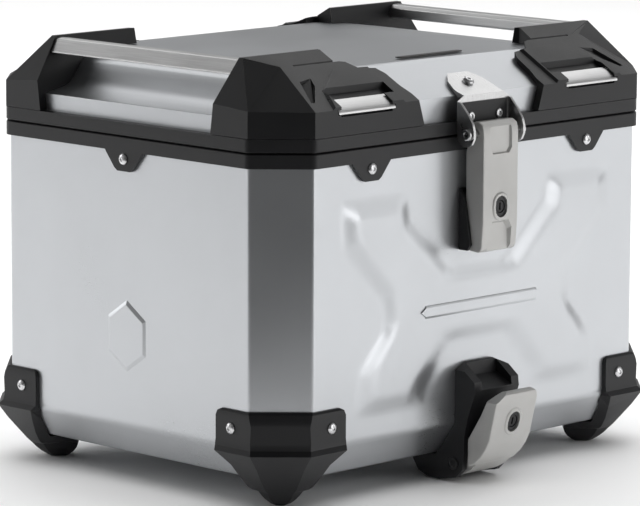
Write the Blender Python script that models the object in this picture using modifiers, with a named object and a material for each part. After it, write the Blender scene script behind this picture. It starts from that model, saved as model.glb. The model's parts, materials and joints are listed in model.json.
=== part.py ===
"""Hard aluminium motorcycle top case with a hinged lid, two tall latches and a carrier lock.

Units are metres and +Z is up.  The origin is the centre of the flat underside of the base.
The case is 0.42 wide along X.  The front, with the main latch and the carrier lock, faces -Y.
The feet reach about 20 mm below the base plane.  The lid turns about the rear latch's pin.
"""
import math

import bmesh
import bpy
from mathutils import Vector

MM = 0.001

# The plan of the body is a rectangle with four chamfered corners.
HALF_WIDTH = 210.0
HALF_DEPTH = 164.3
CORNER_CUT = 33.0
BEND_RADIUS = 5.0
CREASE_Z = 27.6
RIM_Z = 244.0
SHEET = 2.0
# A flat seat is pressed down out of the floor, and its underside is the base plane.
SEAT_DROP = 1.4
SEAT_HALF_WIDTH = 138.0
SEAT_FRONT_Y = -112.0
SEAT_REAR_Y = 104.0

COLLAR_BOTTOM_Z = 236.3
PARTING_Z = 247.0
TRIM_PROUD = 3.1

FRAME_BOTTOM_Z = 247.4
FRAME_TOP_Z = 258.0
PANEL_OFFSET = -4.0

PIN_Y = 179.5
PIN_Z = 249.0
LOWER_PIVOT_Y = 163.5
LOWER_PIVOT_Z = -4.0

for old in list(bpy.data.objects):
    bpy.data.objects.remove(old, do_unlink=True)

scene = bpy.context.scene
case_set = bpy.data.collections.new("top_case")
cutter_set = bpy.data.collections.new("cutters")
scene.collection.children.link(case_set)
scene.collection.children.link(cutter_set)

materials = {}


def material(name, colour, metallic, roughness):
    """Return the named Principled material, made once."""
    if name not in materials:
        made = bpy.data.materials.new(name)
        made.use_nodes = True
        shader = made.node_tree.nodes["Principled BSDF"]
        shader.inputs["Base Color"].default_value = (*colour, 1.0)
        shader.inputs["Metallic"].default_value = metallic
        shader.inputs["Roughness"].default_value = roughness
        made.diffuse_color = (*colour, 1.0)
        materials[name] = made
    return materials[name]


def add_mesh(name, points, faces, kind):
    """Make one mesh object from points in millimetres and link it as a node or a cutter."""
    mesh = bpy.data.meshes.new(name)
    mesh.from_pydata([Vector(point) * MM for point in points], [], faces)
    work = bmesh.new()
    work.from_mesh(mesh)
    bmesh.ops.recalc_face_normals(work, faces=work.faces)
    work.to_mesh(mesh)
    work.free()
    made = bpy.data.objects.new(name, mesh)
    if kind is None:
        cutter_set.objects.link(made)
        made.hide_render = True
        made.display_type = "WIRE"
    else:
        case_set.objects.link(made)
        mesh.materials.append(kind)
    return made


def skin(loops):
    """Return points and faces of a closed body whose surface runs through equal loops."""
    points = []
    for loop in loops:
        points.extend(loop)
    count = len(loops[0])
    faces = []
    for level in range(len(loops) - 1):
        for index in range(count):
            after = (index + 1) % count
            low = level * count
            high = low + count
            faces.append((low + index, low + after, high + after, high + index))
    faces.append(tuple(range(count)))
    last = (len(loops) - 1) * count
    faces.append(tuple(range(last, last + count)))
    return points, faces


def loft(name, loops, kind=None):
    """Make a closed body through equal loops of 3-D points."""
    points, faces = skin(loops)
    return add_mesh(name, points, faces, kind)


def prism(name, outline, axis, low, high, kind=None):
    """Extrude an outline along x, y or z; the outline holds the other two coordinates."""
    order = {
        "x": lambda a, b, c: (c, a, b),
        "y": lambda a, b, c: (a, c, b),
        "z": lambda a, b, c: (a, b, c),
    }[axis]
    loops = []
    for level in (low, high):
        loops.append([order(a, b, level) for a, b in outline])
    return loft(name, loops, kind)


def box(name, low, high, kind=None):
    """Make an axis-aligned block between two corners."""
    outline = [(low[0], low[1]), (high[0], low[1]), (high[0], high[1]), (low[0], high[1])]
    return prism(name, outline, "z", low[2], high[2], kind)


def circle(radius, count, turn=0.0):
    """Return the points of a circle around the origin."""
    points = []
    for index in range(count):
        angle = turn + math.tau * index / count
        points.append((radius * math.cos(angle), radius * math.sin(angle)))
    return points


def ring_at(centre, axis, along, radius, count):
    """Return a circle around an axis, some distance along it from the centre."""
    main = Vector(axis).normalized()
    side = main.orthogonal().normalized()
    other = main.cross(side)
    middle = Vector(centre) + main * along
    return [tuple(middle + side * a + other * b) for a, b in circle(radius, count)]


def turned(name, profile, centre, axis, count, kind=None):
    """Make a turned body from (distance along the axis, radius) pairs."""
    made = loft(name, [ring_at(centre, axis, *level, count) for level in profile], kind)
    for face in made.data.polygons:
        face.use_smooth = len(face.vertices) == 4
    return made


def octagon(offset, z):
    """Return the body's plan outline moved outward by offset, with rounded bends."""
    half_x = HALF_WIDTH + offset
    half_y = HALF_DEPTH + offset
    cut = CORNER_CUT + offset * (2.0 - math.sqrt(2.0))
    radius = min(max(BEND_RADIUS + offset, 2.5), 9.0)
    corners = [
        (half_x, -half_y + cut),
        (half_x, half_y - cut),
        (half_x - cut, half_y),
        (-half_x + cut, half_y),
        (-half_x, half_y - cut),
        (-half_x, -half_y + cut),
        (-half_x + cut, -half_y),
        (half_x - cut, -half_y),
    ]
    loop = []
    reach = radius * math.tan(math.radians(22.5))
    for index, corner in enumerate(corners):
        here = Vector(corner)
        back = (Vector(corners[index - 1]) - here).normalized()
        ahead = (Vector(corners[(index + 1) % 8]) - here).normalized()
        start = here + back * reach
        end = here + ahead * reach
        middle = here.lerp((start + end) / 2, 0.52)
        for point in (start, middle, end):
            loop.append((point.x, point.y, z))
    return loop


def band(name, section, kind):
    """Sweep a closed section of (offset, z) pairs around the plan outline."""
    points = []
    for offset, z in section:
        points.extend(octagon(offset, z))
    count = len(octagon(0.0, 0.0))
    rows = len(section)
    faces = []
    for row in range(rows):
        for index in range(count):
            after = (index + 1) % count
            low = row * count
            high = ((row + 1) % rows) * count
            faces.append((low + index, low + after, high + after, high + index))
    return add_mesh(name, points, faces, kind)


def combine(target, tool, operation):
    """Apply an exact Boolean between a node and a cutter."""
    step = target.modifiers.new(operation.lower(), "BOOLEAN")
    step.operation = operation
    step.solver = "EXACT"
    step.object = tool


def join_pieces(target, tools):
    """Merge extra blocks into a node."""
    for tool in tools:
        combine(target, tool, "UNION")


def cut_away(target, tools):
    """Cut pockets or holes out of a node."""
    for tool in tools:
        combine(target, tool, "DIFFERENCE")


def mirrored(points, sign_x, sign_y):
    """Mirror 3-D points across the middle planes."""
    return [(sign_x * x, sign_y * y, z) for x, y, z in points]


def soften(target, width, angle=35.0, segments=1):
    """Round the sharp edges of a node a little."""
    step = target.modifiers.new("edges", "BEVEL")
    step.width = width * MM
    step.segments = segments
    step.limit_method = "ANGLE"
    step.angle_limit = math.radians(angle)
    step.harden_normals = False


def empty_at(name, place):
    """Mark a joint axis with an empty."""
    mark = bpy.data.objects.new(name, None)
    mark.empty_display_size = 0.02
    mark.location = Vector(place) * MM
    case_set.objects.link(mark)
    return mark


def ride_on(child, mark):
    """Parent a piece to a joint mark without moving it."""
    child.parent = mark
    child.matrix_parent_inverse.identity()
    child.location = -mark.location


silver = material("silver_sheet", (0.62, 0.64, 0.66), 1.0, 0.38)
black = material("black_plastic", (0.028, 0.028, 0.030), 0.0, 0.55)
lever_grey = material("lever_grey", (0.42, 0.42, 0.41), 0.2, 0.45)
stainless = material("stainless", (0.60, 0.60, 0.60), 1.0, 0.28)
rivet_metal = material("rivet_metal", (0.72, 0.72, 0.73), 1.0, 0.30)
bar_metal = material("bar_metal", (0.58, 0.58, 0.58), 1.0, 0.32)
seal_rubber = material("seal_rubber", (0.02, 0.02, 0.02), 0.0, 0.8)
lock_black = material("lock_black", (0.012, 0.012, 0.013), 0.0, 0.35)

# ---------------------------------------------------------------- rivets and their holes
rivets = []
for sign in (-1, 1):
    for sign_y, face in ((-1, "front"), (1, "rear")):
        place = (sign * 119.0, sign_y * HALF_DEPTH, 231.2)
        rivets.append(("collar_rivet_" + face, sign, place, (0, sign_y, 0), TRIM_PROUD))
    rivets.append(("collar_rivet_side", sign, (sign * HALF_WIDTH, 0.0, 230.4), (sign, 0, 0), TRIM_PROUD))
TAB_THICK = 3.6
for sign_y, face in ((-1, "front"), (1, "rear")):
    for sign in (-1, 1):
        place = (sign * 160.5, sign_y * HALF_DEPTH, 42.7)
        rivets.append(("protector_rivet_" + face, sign, place, (0, sign_y, 0), TAB_THICK))
        place = (sign * HALF_WIDTH, sign_y * 116.0, 42.7)
        rivets.append(("protector_rivet_side_" + face, sign, place, (sign, 0, 0), TAB_THICK))

hole_loops = []
hole_points = []
hole_faces = []
for name, sign, place, axis, proud in rivets:
    side_name = "left" if sign < 0 else "right"
    profile = [
        (-3.8, 1.2), (-3.8, 1.5), (proud + 0.15, 1.5), (proud + 0.15, 4.3),
        (proud + 0.9, 4.1), (proud + 1.7, 2.9), (proud + 2.0, 1.2),
    ]
    turned(name + "_" + side_name, profile, place, axis, 14, rivet_metal)
    points, faces = skin([ring_at(place, axis, along, 1.8, 10) for along in (-6.0, proud + 4.0)])
    shift = len(hole_points)
    hole_points.extend(points)
    hole_faces.extend([tuple(shift + index for index in face) for face in faces])
rivet_holes = add_mesh("rivet_holes", hole_points, hole_faces, None)

# ---------------------------------------------------------------- body shell
shell_profile = [
    (-22.5, SEAT_DROP), (-20.0, 1.6), (-18.6, 2.5), (-1.9, 25.0), (-0.5, 27.2), (0.0, 30.0), (0.0, RIM_Z),
    (-SHEET, RIM_Z), (-SHEET, 30.4), (-2.6, 27.9), (-19.9, 4.6), (-22.5, SEAT_DROP + SHEET),
]
shell = loft("body_shell", [octagon(offset, z) for offset, z in shell_profile], silver)


def seat_outline(grow):
    """Return the plan of the pressed seat, a rectangle with cut corners, moved outward by grow."""
    right = SEAT_HALF_WIDTH + grow
    front = SEAT_FRONT_Y - grow
    rear = SEAT_REAR_Y + grow
    cut = 14.0
    return [
        (right, front + cut), (right, rear - cut), (right - cut, rear), (-right + cut, rear),
        (-right, rear - cut), (-right, front + cut), (-right + cut, front), (right - cut, front),
    ]


def seat_body(name, levels):
    """Loft the seat's plan through (grow, z) levels."""
    return loft(name, [[(x, y, z) for x, y in seat_outline(grow)] for grow, z in levels])


seat_below = [(0.0, 0.0), (SEAT_DROP, SEAT_DROP), (SEAT_DROP, SEAT_DROP + 1.0)]
join_pieces(shell, [seat_body("seat_outside", seat_below)])
seat_above = [(-1.0, SHEET), (SEAT_DROP - 1.0, SEAT_DROP + SHEET), (SEAT_DROP - 1.0, 8.0)]
cut_away(shell, [seat_body("seat_inside", seat_above)])

# The stiffening press is a raised X with wide soft flanks.
PRESS_TOP = [
    (-130, 194), (-92, 194), (-90, 179), (-42, 136), (42, 136), (90, 179), (92, 194), (130, 194),
    (127, 177), (89, 136), (85, 112), (109, 80), (111, 60), (80, 60), (77, 66), (44, 104),
    (-44, 104), (-77, 66), (-80, 60), (-111, 60), (-109, 80), (-85, 112), (-89, 136), (-127, 177),
]
PRESS_FOOT = [
    (-151, 210), (-76, 210), (-72, 193), (-26, 148), (26, 148), (72, 193), (76, 210), (151, 210),
    (150, 172), (108, 133), (107, 107), (133, 80), (135, 44), (58, 44), (55, 58), (28, 89),
    (-28, 89), (-55, 58), (-58, 44), (-135, 44), (-133, 80), (-107, 107), (-108, 133), (-150, 172),
]
PRESS_HEIGHT = 3.6
PRESS_LEVELS = [(0.0, -1.0), (0.0, 0.0), (0.18, 0.4), (0.82, PRESS_HEIGHT - 0.4), (1.0, PRESS_HEIGHT)]


def between(first, second, share):
    """Mix two outlines point by point."""
    return [(a[0] + (b[0] - a[0]) * share, a[1] + (b[1] - a[1]) * share) for a, b in zip(first, second)]


for sign_y, face in ((-1, "front"), (1, "rear")):
    loops = []
    for share, height in PRESS_LEVELS:
        outline = between(PRESS_FOOT, PRESS_TOP, share)
        loops.append([(x, sign_y * (HALF_DEPTH + height), z) for x, z in outline])
    press = loft("press_" + face, loops)
    join_pieces(shell, [press])

# A plain lozenge bar sits on the middle of the front press.
bar_low = [(-66, 117), (-61, 112.5), (61, 112.5), (66, 117), (61, 121.5), (-61, 121.5)]
bar_high = [(-64, 117), (-60.2, 113.7), (60.2, 113.7), (64, 117), (60.2, 120.3), (-60.2, 120.3)]
loops = []
for outline, height in ((bar_low, -0.5), (bar_low, 0.0), (bar_high, 1.1)):
    loops.append([(x, -HALF_DEPTH - PRESS_HEIGHT - height, z) for x, z in outline])
join_pieces(shell, [loft("front_lozenge", loops)])

# A plain six-sided pad is pressed into each side wall.
for sign, face in ((-1, "left"), (1, "right")):
    loops = []
    for radius, height in ((24.0, -0.5), (24.0, 0.0), (20.5, 1.0)):
        ring = circle(radius, 6, math.pi / 2)
        loops.append([(sign * (HALF_WIDTH + height), a, 96.0 + b * 1.15) for a, b in ring])
    join_pieces(shell, [loft("side_pad_" + face, loops)])
cut_away(shell, [rivet_holes])

# ---------------------------------------------------------------- body collar
collar_section = [
    (0.3, COLLAR_BOTTOM_Z), (TRIM_PROUD, COLLAR_BOTTOM_Z), (TRIM_PROUD, PARTING_Z - 0.7),
    (TRIM_PROUD - 0.7, PARTING_Z), (-5.0, PARTING_Z), (-5.0, 239.0), (-2.3, 239.0),
    (-2.3, RIM_Z + 0.3), (0.3, RIM_Z + 0.3),
]
collar = band("body_collar", collar_section, black)
TAB_HALF = [(7.0, 222.0), (10.2, 224.2), (19.5, 235.5), (21, 238)]
TAB_OUTLINE = [(-a, b) for a, b in reversed(TAB_HALF)] + TAB_HALF
for sign in (-1, 1):
    for sign_y, face in ((-1, "front"), (1, "rear")):
        outline = [(sign * 119.0 + a, b) for a, b in TAB_OUTLINE]
        low = sign_y * (HALF_DEPTH + 0.3)
        high = sign_y * (HALF_DEPTH + TRIM_PROUD)
        join_pieces(collar, [prism("collar_tab", outline, "y", low, high)])
    outline = [(a, b - 0.8) for a, b in TAB_OUTLINE]
    low = sign * (HALF_WIDTH + 0.3)
    high = sign * (HALF_WIDTH + TRIM_PROUD)
    join_pieces(collar, [prism("collar_tab", outline, "x", low, high)])
cut_away(collar, [rivet_holes])

# ---------------------------------------------------------------- corner protectors with feet
body_space_profile = [
    (-20.0, -0.3), (-18.2, 1.4), (-1.6, 24.9), (-0.2, 27.1), (0.3, 29.9), (0.3, 90.0),
]
body_space = loft("body_space", [octagon(offset, z) for offset, z in body_space_profile])

HALF_CUT = CORNER_CUT / math.sqrt(2.0)
DIAGONAL = 1.0 / math.sqrt(2.0)


def corner_point(along, inward, z):
    """Turn chamfer coordinates (along the chamfer, inward from it) into plan coordinates."""
    middle_x = HALF_WIDTH - CORNER_CUT / 2.0
    middle_y = HALF_DEPTH - CORNER_CUT / 2.0
    x = middle_x - DIAGONAL * along - DIAGONAL * inward
    y = middle_y + DIAGONAL * along - DIAGONAL * inward
    return (x, y, z)


def guard_loop(z, tab, chamfer, reach, inner_along, inner_in):
    """One level of a corner protector: tab and chamfer thickness, tab length, inner corner."""
    end_along = HALF_CUT + DIAGONAL * (reach + tab)
    end_in = DIAGONAL * (reach - tab)
    bend_along = HALF_CUT + math.sqrt(2.0) * tab - chamfer
    right = [(end_along, end_in), (inner_along, inner_in)]
    left = [(-a, b) for a, b in reversed(right)]
    level = [(-bend_along, -chamfer), (bend_along, -chamfer)] + right + left
    return [corner_point(a, b, z) for a, b in level]


GUARD_LEVELS = [
    (56.2, 1.4, 2.0, 27.0, 38.0, 32.0),
    (54.6, 3.0, 4.2, 30.2, 40.0, 32.0),
    (51.0, 3.6, 5.6, 31.4, 40.0, 32.0),
    (46.5, 3.6, 6.5, 31.4, 40.0, 32.0),
    (33.5, 3.6, 6.0, 31.4, 40.0, 32.0),
    (28.6, 4.3, 7.2, 31.4, 40.0, 32.0),
    (25.0, 7.2, 11.0, 29.2, 40.0, 32.0),
]

# The foot narrows downwards in scallops: height, then along and inward of the front edge,
# the outer corner and the inner corner.
FOOT_LEVELS = [
    (13.7, 17.5, -3.7, 36.6, 16.5, 30.5, 40.0),
    (4.1, 14.5, 4.1, 30.0, 18.2, 23.5, 46.0),
    (-3.6, 12.0, 10.4, 24.2, 20.8, 17.0, 50.0),
    (-6.0, 10.8, 12.6, 21.2, 22.4, 14.5, 50.6),
    (-7.6, 9.4, 14.0, 16.6, 23.4, 12.0, 50.4),
    (-11.2, 8.6, 17.4, 14.2, 25.2, 10.6, 49.2),
    (-14.6, 7.0, 21.2, 11.4, 27.2, 8.6, 46.8),
    (-18.0, 4.8, 26.0, 7.6, 29.7, 5.8, 43.0),
    (-19.5, 3.2, 28.5, 4.8, 31.8, 4.0, 40.0),
]


def foot_loop(z, front_along, front_in, end_along, end_in, inner_along, inner_in):
    """One level of a foot below the corner protector."""
    half = [(front_along, front_in), (end_along, end_in), (inner_along, inner_in)]
    level = [(-front_along, front_in)] + half + [(-a, b) for a, b in reversed(half[1:])]
    return [corner_point(a, b, z) for a, b in level]


for sign in (-1, 1):
    side_name = "left" if sign < 0 else "right"
    for sign_y, face in ((-1, "front"), (1, "rear")):
        levels = [guard_loop(*level) for level in GUARD_LEVELS]
        levels += [foot_loop(*level) for level in FOOT_LEVELS]
        loops = [mirrored(level, sign, sign_y) for level in levels]
        guard = loft("corner_protector_" + face + "_" + side_name, loops, black)
        cut_away(guard, [body_space, rivet_holes])

# ---------------------------------------------------------------- lid frame, panel and seal
frame_section = [
    (-9.0, FRAME_BOTTOM_Z), (-8.3, FRAME_BOTTOM_Z), (-8.3, 248.9), (-5.4, 248.9), (-5.4, FRAME_BOTTOM_Z),
    (0.8, FRAME_BOTTOM_Z), (0.8, 248.5), (TRIM_PROUD, 248.5), (TRIM_PROUD, FRAME_TOP_Z),
    (PANEL_OFFSET + 0.3, FRAME_TOP_Z), (PANEL_OFFSET + 0.3, 250.0), (-6.3, 250.0), (-6.3, 256.0),
    (-9.0, 256.0),
]
lid_frame = band("lid_frame", frame_section, black)
band("lid_seal", [(-8.0, 247.2), (-5.7, 247.2), (-5.7, 248.6), (-8.0, 248.6)], seal_rubber)

FRONT_TOP = [
    (160.8, 276.2), (159.3, 277.2), (121.5, 299.3), (116.5, 300.7), (60.0, 301.7), (0.0, 302.1),
]
SIDE_TOP = [
    (206.5, 270.6), (205.0, 271.3), (195.0, 273.0), (186.0, 274.6), (180.0, 277.2), (175.0, 281.4),
    (170.0, 287.8), (166.5, 292.2), (163.0, 294.4), (150.0, 296.8), (122.0, 300.6), (70.0, 303.0),
]


def top_outline(half, low_z, grow):
    """Close a half profile of the lid into an outline, moved outward by grow."""
    points = [Vector(point) for point in half]
    right = []
    for index, point in enumerate(points):
        ahead = points[min(index + 1, len(points) - 1)]
        behind = points[max(index - 1, 0)]
        along = (ahead - behind).normalized()
        normal = Vector((-along.y, along.x))
        if normal.y < 0.0:
            normal = -normal
        right.append(point + normal * grow)
    wide = max(point[0] for point in half) + 12.0
    right = [Vector((wide, right[0].y))] + right
    left = [Vector((-point.x, point.y)) for point in reversed(right)]
    if half[-1][0] == 0.0:
        right[-1].x = 0.0
        left = left[1:]
    outline = [(point.x, point.y) for point in right + left]
    return [(wide, low_z)] + outline + [(-wide, low_z)]


def lid_space(name, offset, low_z, grow, kind=None):
    """The space under the lid's pressed top, moved outward by offset and grow."""
    wall = loft(name, [octagon(offset, low_z), octagon(offset, 320.0)], kind)
    across = prism(name + "_across", top_outline(FRONT_TOP, low_z - 5.0, grow), "x", -260.0, 260.0)
    along = prism(name + "_along", top_outline(SIDE_TOP, low_z - 5.0, grow), "y", -220.0, 220.0)
    combine(wall, across, "INTERSECT")
    combine(wall, along, "INTERSECT")
    return wall


lid_panel = lid_space("lid_panel", PANEL_OFFSET, 250.3, 0.0, silver)
panel_inside = lid_space("panel_inside", PANEL_OFFSET - SHEET, 240.0, -SHEET)
cut_away(lid_panel, [panel_inside])
panel_around = lid_space("panel_around", PANEL_OFFSET + 0.3, 240.0, 0.3)

# ---------------------------------------------------------------- lid corner pieces
CORNER_OUT = TRIM_PROUD - 0.1
OUT_X = HALF_WIDTH + CORNER_OUT
OUT_Y = HALF_DEPTH + CORNER_OUT
OUT_CUT = CORNER_CUT + CORNER_OUT * (2.0 - math.sqrt(2.0))
CORNER_LOW = FRAME_TOP_Z + 0.3
RIDGE_Z = 313.3

corner_points = [
    (58.0, OUT_Y, CORNER_LOW), (OUT_X - OUT_CUT, OUT_Y, CORNER_LOW), (OUT_X, OUT_Y - OUT_CUT, CORNER_LOW),
    (OUT_X, 93.5, CORNER_LOW), (58.0, 93.5, CORNER_LOW),
    (58.0, OUT_Y, 277.6), (OUT_X - OUT_CUT, OUT_Y, 277.8), (OUT_X, OUT_Y - OUT_CUT, 278.4),
    (OUT_X, 96.4, 281.0),
    (190.4, 104.5, RIDGE_Z), (190.4, 100.5, RIDGE_Z), (58.0, 100.5, RIDGE_Z), (58.0, 104.5, RIDGE_Z),
    (155.0, 117.7, 305.6), (165.0, 117.4, 305.7),
]
corner_faces = [
    (0, 1, 2, 3, 4), (0, 1, 6, 5), (1, 2, 7, 6), (2, 3, 8, 7), (3, 4, 11, 10, 8), (4, 0, 5, 12, 11),
    (5, 6, 13), (5, 13, 12), (13, 14, 9), (13, 9, 12), (6, 7, 14, 13), (7, 9, 14), (7, 8, 9),
    (8, 10, 9), (9, 10, 11, 12),
]
corner_plan = [
    (58.0, 175.0), (58.0, 159.8), (69.2, 159.8), (69.6, 158.0), (72.0, 150.0), (73.0, 136.0), (77.0, 129.4),
    (93.0, 127.2), (99.2, 119.6), (109.6, 117.2), (110.8, 103.5), (104.0, 94.0), (104.0, 90.0),
    (220.0, 90.0), (220.0, 175.0),
]
front_lean = [(50.0, 250.0), (62.2, 250.0), (63.0, 258.0), (69.2, 277.6), (69.2, 330.0), (50.0, 330.0)]
SLOPE = 35.7 / (OUT_Y - 104.5)


def slope_height(y):
    """Height of the corner piece's front slope at a distance y from the middle."""
    return 277.6 + (OUT_Y - y) * SLOPE


HOLLOW_PLAN = [(162.1, 134.8), (147.5, 132.2), (152.0, 140.5), (168.8, 157.6), (172.6, 157.3)]
HOLLOW_DEPTH = 3.2


def hollow_floor(x, y):
    """Height of the hollow's floor, which is deepest along the edge of the corner facet."""
    inward = 0.906 * (155.0 + 0.4667 * (y - 117.7) - x)
    return slope_height(y) - HOLLOW_DEPTH + 0.26 * inward


bar_outline = [
    (190.2, 311.2), (195.6, 302.5), (196.6, 301.9), (196.4, 300.9), (193.5, 300.5), (179.0, 300.5),
    (177.2, 302.0), (177.2, 308.8), (179.4, 311.4), (185.5, 312.0),
]
bar_room = [
    (190.4, 311.6), (196.0, 302.7), (197.1, 302.1), (196.8, 300.5), (193.6, 300.15), (178.8, 300.15),
    (176.85, 301.8), (176.85, 309.0), (179.2, 311.75), (185.5, 312.35),
]
strap_outline = [
    (168.0, 273.9), (167.9, 275.6), (165.6, 278.3), (160.6, 281.9), (156.2, 283.9), (155.2, 282.4),
    (159.6, 280.2), (164.0, 276.6), (165.4, 273.9),
]
strap_room = [
    (168.8, 273.4), (168.6, 275.9), (166.1, 278.8), (161.0, 282.4), (156.1, 284.6), (154.6, 282.3),
    (159.2, 279.8), (163.4, 276.3), (164.8, 273.4),
]
pocket_above = [(146.8, 286.4), (158.4, 279.6), (158.4, 300.0), (146.8, 300.0)]
pocket_front = [
    (158.2, 279.9), (161.9, 277.0), (162.1, 272.2), (172.0, 272.2), (172.0, 290.0), (158.2, 290.0),
]
# A fine groove marks the lower edge of the ridge strip.
groove_line = [(117.1, 304.6), (118.3, 304.6), (118.6, 307.5), (116.6, 307.5)]
CORNER_CUTS = [
    ("ridge_groove", groove_line, 100.0, 152.0),
    ("pocket_above", pocket_above, 87.0, 151.0),
    ("pocket_front", pocket_front, 97.5, 151.2),
    ("strap_room", strap_room, 94.4, 154.6),
]

for sign in (-1, 1):
    side_name = "left" if sign < 0 else "right"
    for sign_y, face in ((-1, "front"), (1, "rear")):
        label = face + "_" + side_name
        piece = add_mesh("lid_corner_" + label, mirrored(corner_points, sign, sign_y), corner_faces, black)
        # The pocket housing stands a little proud of the slope.
        low_plan = [(84.0, OUT_Y), (84.0, 128.0), (122.0, 127.0), (150.0, 146.0), (160.0, OUT_Y)]
        high_plan = [(86.0, OUT_Y), (86.0, 130.0), (121.0, 129.0), (148.0, 147.5), (157.0, OUT_Y)]
        loops = []
        for plan, lift in ((low_plan, -2.0), (low_plan, 0.0), (high_plan, 2.1)):
            level = [(x, y, slope_height(y) + lift) for x, y in plan]
            loops.append(mirrored(level, sign, sign_y))
        join_pieces(piece, [loft("pocket_rise_" + label, loops)])
        outline = [(sign * x, sign_y * y) for x, y in corner_plan]
        combine(piece, prism("corner_plan_" + label, outline, "z", 250.0, 330.0), "INTERSECT")
        outline = [(sign * x, z) for x, z in front_lean]
        lean = prism("corner_lean_" + label, outline, "y", sign_y * 90.0, sign_y * 180.0)
        # A hollow whose floor turns towards the corner parts the housing from the corner facet.
        loops = []
        for lift in (0.0, 30.0):
            level = [(x, y, hollow_floor(x, y) + lift) for x, y in HOLLOW_PLAN]
            loops.append(mirrored(level, sign, sign_y))
        hollow = loft("corner_hollow_" + label, loops)
        cuts = [lean, panel_around, hollow]
        for cut_name, line, inner, outer in CORNER_CUTS:
            outline = [(sign_y * y, z) for y, z in line]
            cuts.append(prism(cut_name + "_" + label, outline, "x", sign * inner, sign * outer))
        outline = [(sign * x, z) for x, z in bar_room]
        cuts.append(prism("bar_socket_" + label, outline, "y", sign_y * 80.0, sign_y * 106.4))
        cut_away(piece, cuts)
        outline = [(sign_y * y, z) for y, z in strap_outline]
        prism("lashing_bar_" + label, outline, "x", sign * 94.8, sign * 154.2, bar_metal)
    prism("carry_bar_" + side_name, [(sign * x, z) for x, z in bar_outline], "y", -106.0, 106.0, bar_metal)

# ---------------------------------------------------------------- plain inlay on the roof
inlay = [(-36.0, -112.0), (-33.0, -115.0), (33.0, -115.0), (36.0, -112.0), (34.0, -108.5), (-34.0, -108.5)]
prism("lid_inlay", inlay, "z", 301.6, 302.4, lock_black)

# ---------------------------------------------------------------- latches
LEVER_HALF = 19.5
LEVER_FACE = 187.0
EAR_IN = 26.4
EAR_OUT = 28.6


def side_prism(name, outline, sign_y, low, high, kind=None):
    """Extrude a (distance from the middle, height) outline across X on the front or rear."""
    return prism(name, [(sign_y * y, z) for y, z in outline], "x", low, high, kind)


def oval(half_wide, half_tall, count):
    """Return an upright oval with straight sides."""
    points = []
    for index in range(count):
        angle = math.tau * index / count
        lift = half_tall - half_wide
        if math.sin(angle) < -0.001:
            lift = -lift
        if abs(math.sin(angle)) < 0.001:
            lift = 0.0
        points.append((half_wide * math.cos(angle), half_wide * math.sin(angle) + lift))
    return points


def oval_body(name, place, out, up, levels, kind=None):
    """Loft upright ovals: each level is (distance out, half width, half height)."""
    main = Vector(out).normalized()
    rise = Vector(up).normalized()
    side = rise.cross(main)
    loops = []
    for along, wide, tall in levels:
        loop = []
        for a, b in oval(wide, tall, 16):
            loop.append(tuple(Vector(place) + main * along + side * a + rise * b))
        loops.append(loop)
    return loft(name, loops, kind)


def lock_set(label, place, out, up):
    """Make the black oval liner and the round plug with its key slot."""
    levels = [(-3.6, 6.2, 8.0), (-0.6, 6.2, 8.0), (-0.3, 5.9, 7.7)]
    liner = oval_body("lock_liner_" + label, place, out, up, levels, lock_black)
    hole = turned("liner_hole_" + label, [(-8.0, 4.9), (4.0, 4.9)], place, out, 20)
    cut_away(liner, [hole])
    mark = empty_at("lock_axis_" + label, place)
    plug_profile = [(-9.0, 4.2), (-1.2, 4.6), (-0.8, 4.3)]
    plug = turned("lock_plug_" + label, plug_profile, place, out, 20, rivet_metal)
    main = Vector(out).normalized()
    rise = Vector(up).normalized()
    side = rise.cross(main)
    loops = []
    for along in (-3.2, 2.0):
        loop = []
        for a, b in ((-0.8, -2.9), (0.8, -2.9), (0.8, 2.9), (-0.8, 2.9)):
            loop.append(tuple(Vector(place) + main * along + side * a + rise * b))
        loops.append(loop)
    cut_away(plug, [loft("key_slot_" + label, loops)])
    ride_on(plug, mark)
    return liner, mark


LOCK_RING = [(-2.0, 9.2, 11.2), (0.2, 9.2, 11.2), (0.9, 8.2, 10.2)]
LOCK_RECESS = [(-4.0, 6.5, 8.3), (3.0, 6.5, 8.3)]
bracket_web = [
    (-EAR_OUT, 273.0), (-EAR_OUT, 249.0), (-24.0, 248.2), (24.0, 248.2), (EAR_OUT, 249.0), (EAR_OUT, 273.0),
    (22.0, 276.8), (-22.0, 276.8),
]
ear_outline = [
    (167.8, 273.0), (171.0, 272.4), (178.5, 264.5), (183.6, 257.5), (185.2, 252.0), (185.2, 246.0),
    (183.0, 241.5), (179.5, 239.6), (174.0, 239.4), (171.4, 241.4), (168.2, 246.2),
]
lever_side = [
    (168.6, 160.6), (168.6, 234.0), (170.9, 245.5), (171.3, 252.0), (173.6, 256.0), (177.0, 258.0),
    (181.5, 258.0), (185.2, 256.0), (186.6, 252.6), (LEVER_FACE, 247.0), (LEVER_FACE, 183.0),
    (185.6, 163.0), (184.0, 159.8), (181.0, 158.8), (174.0, 159.4),
]
lever_inside = [
    (160.0, 163.5), (160.0, 233.0), (172.5, 240.0), (181.0, 240.0), (182.6, 236.0), (182.6, 204.5),
    (175.0, 201.5), (175.0, 184.5), (182.0, 181.0), (181.2, 163.5),
]

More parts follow.
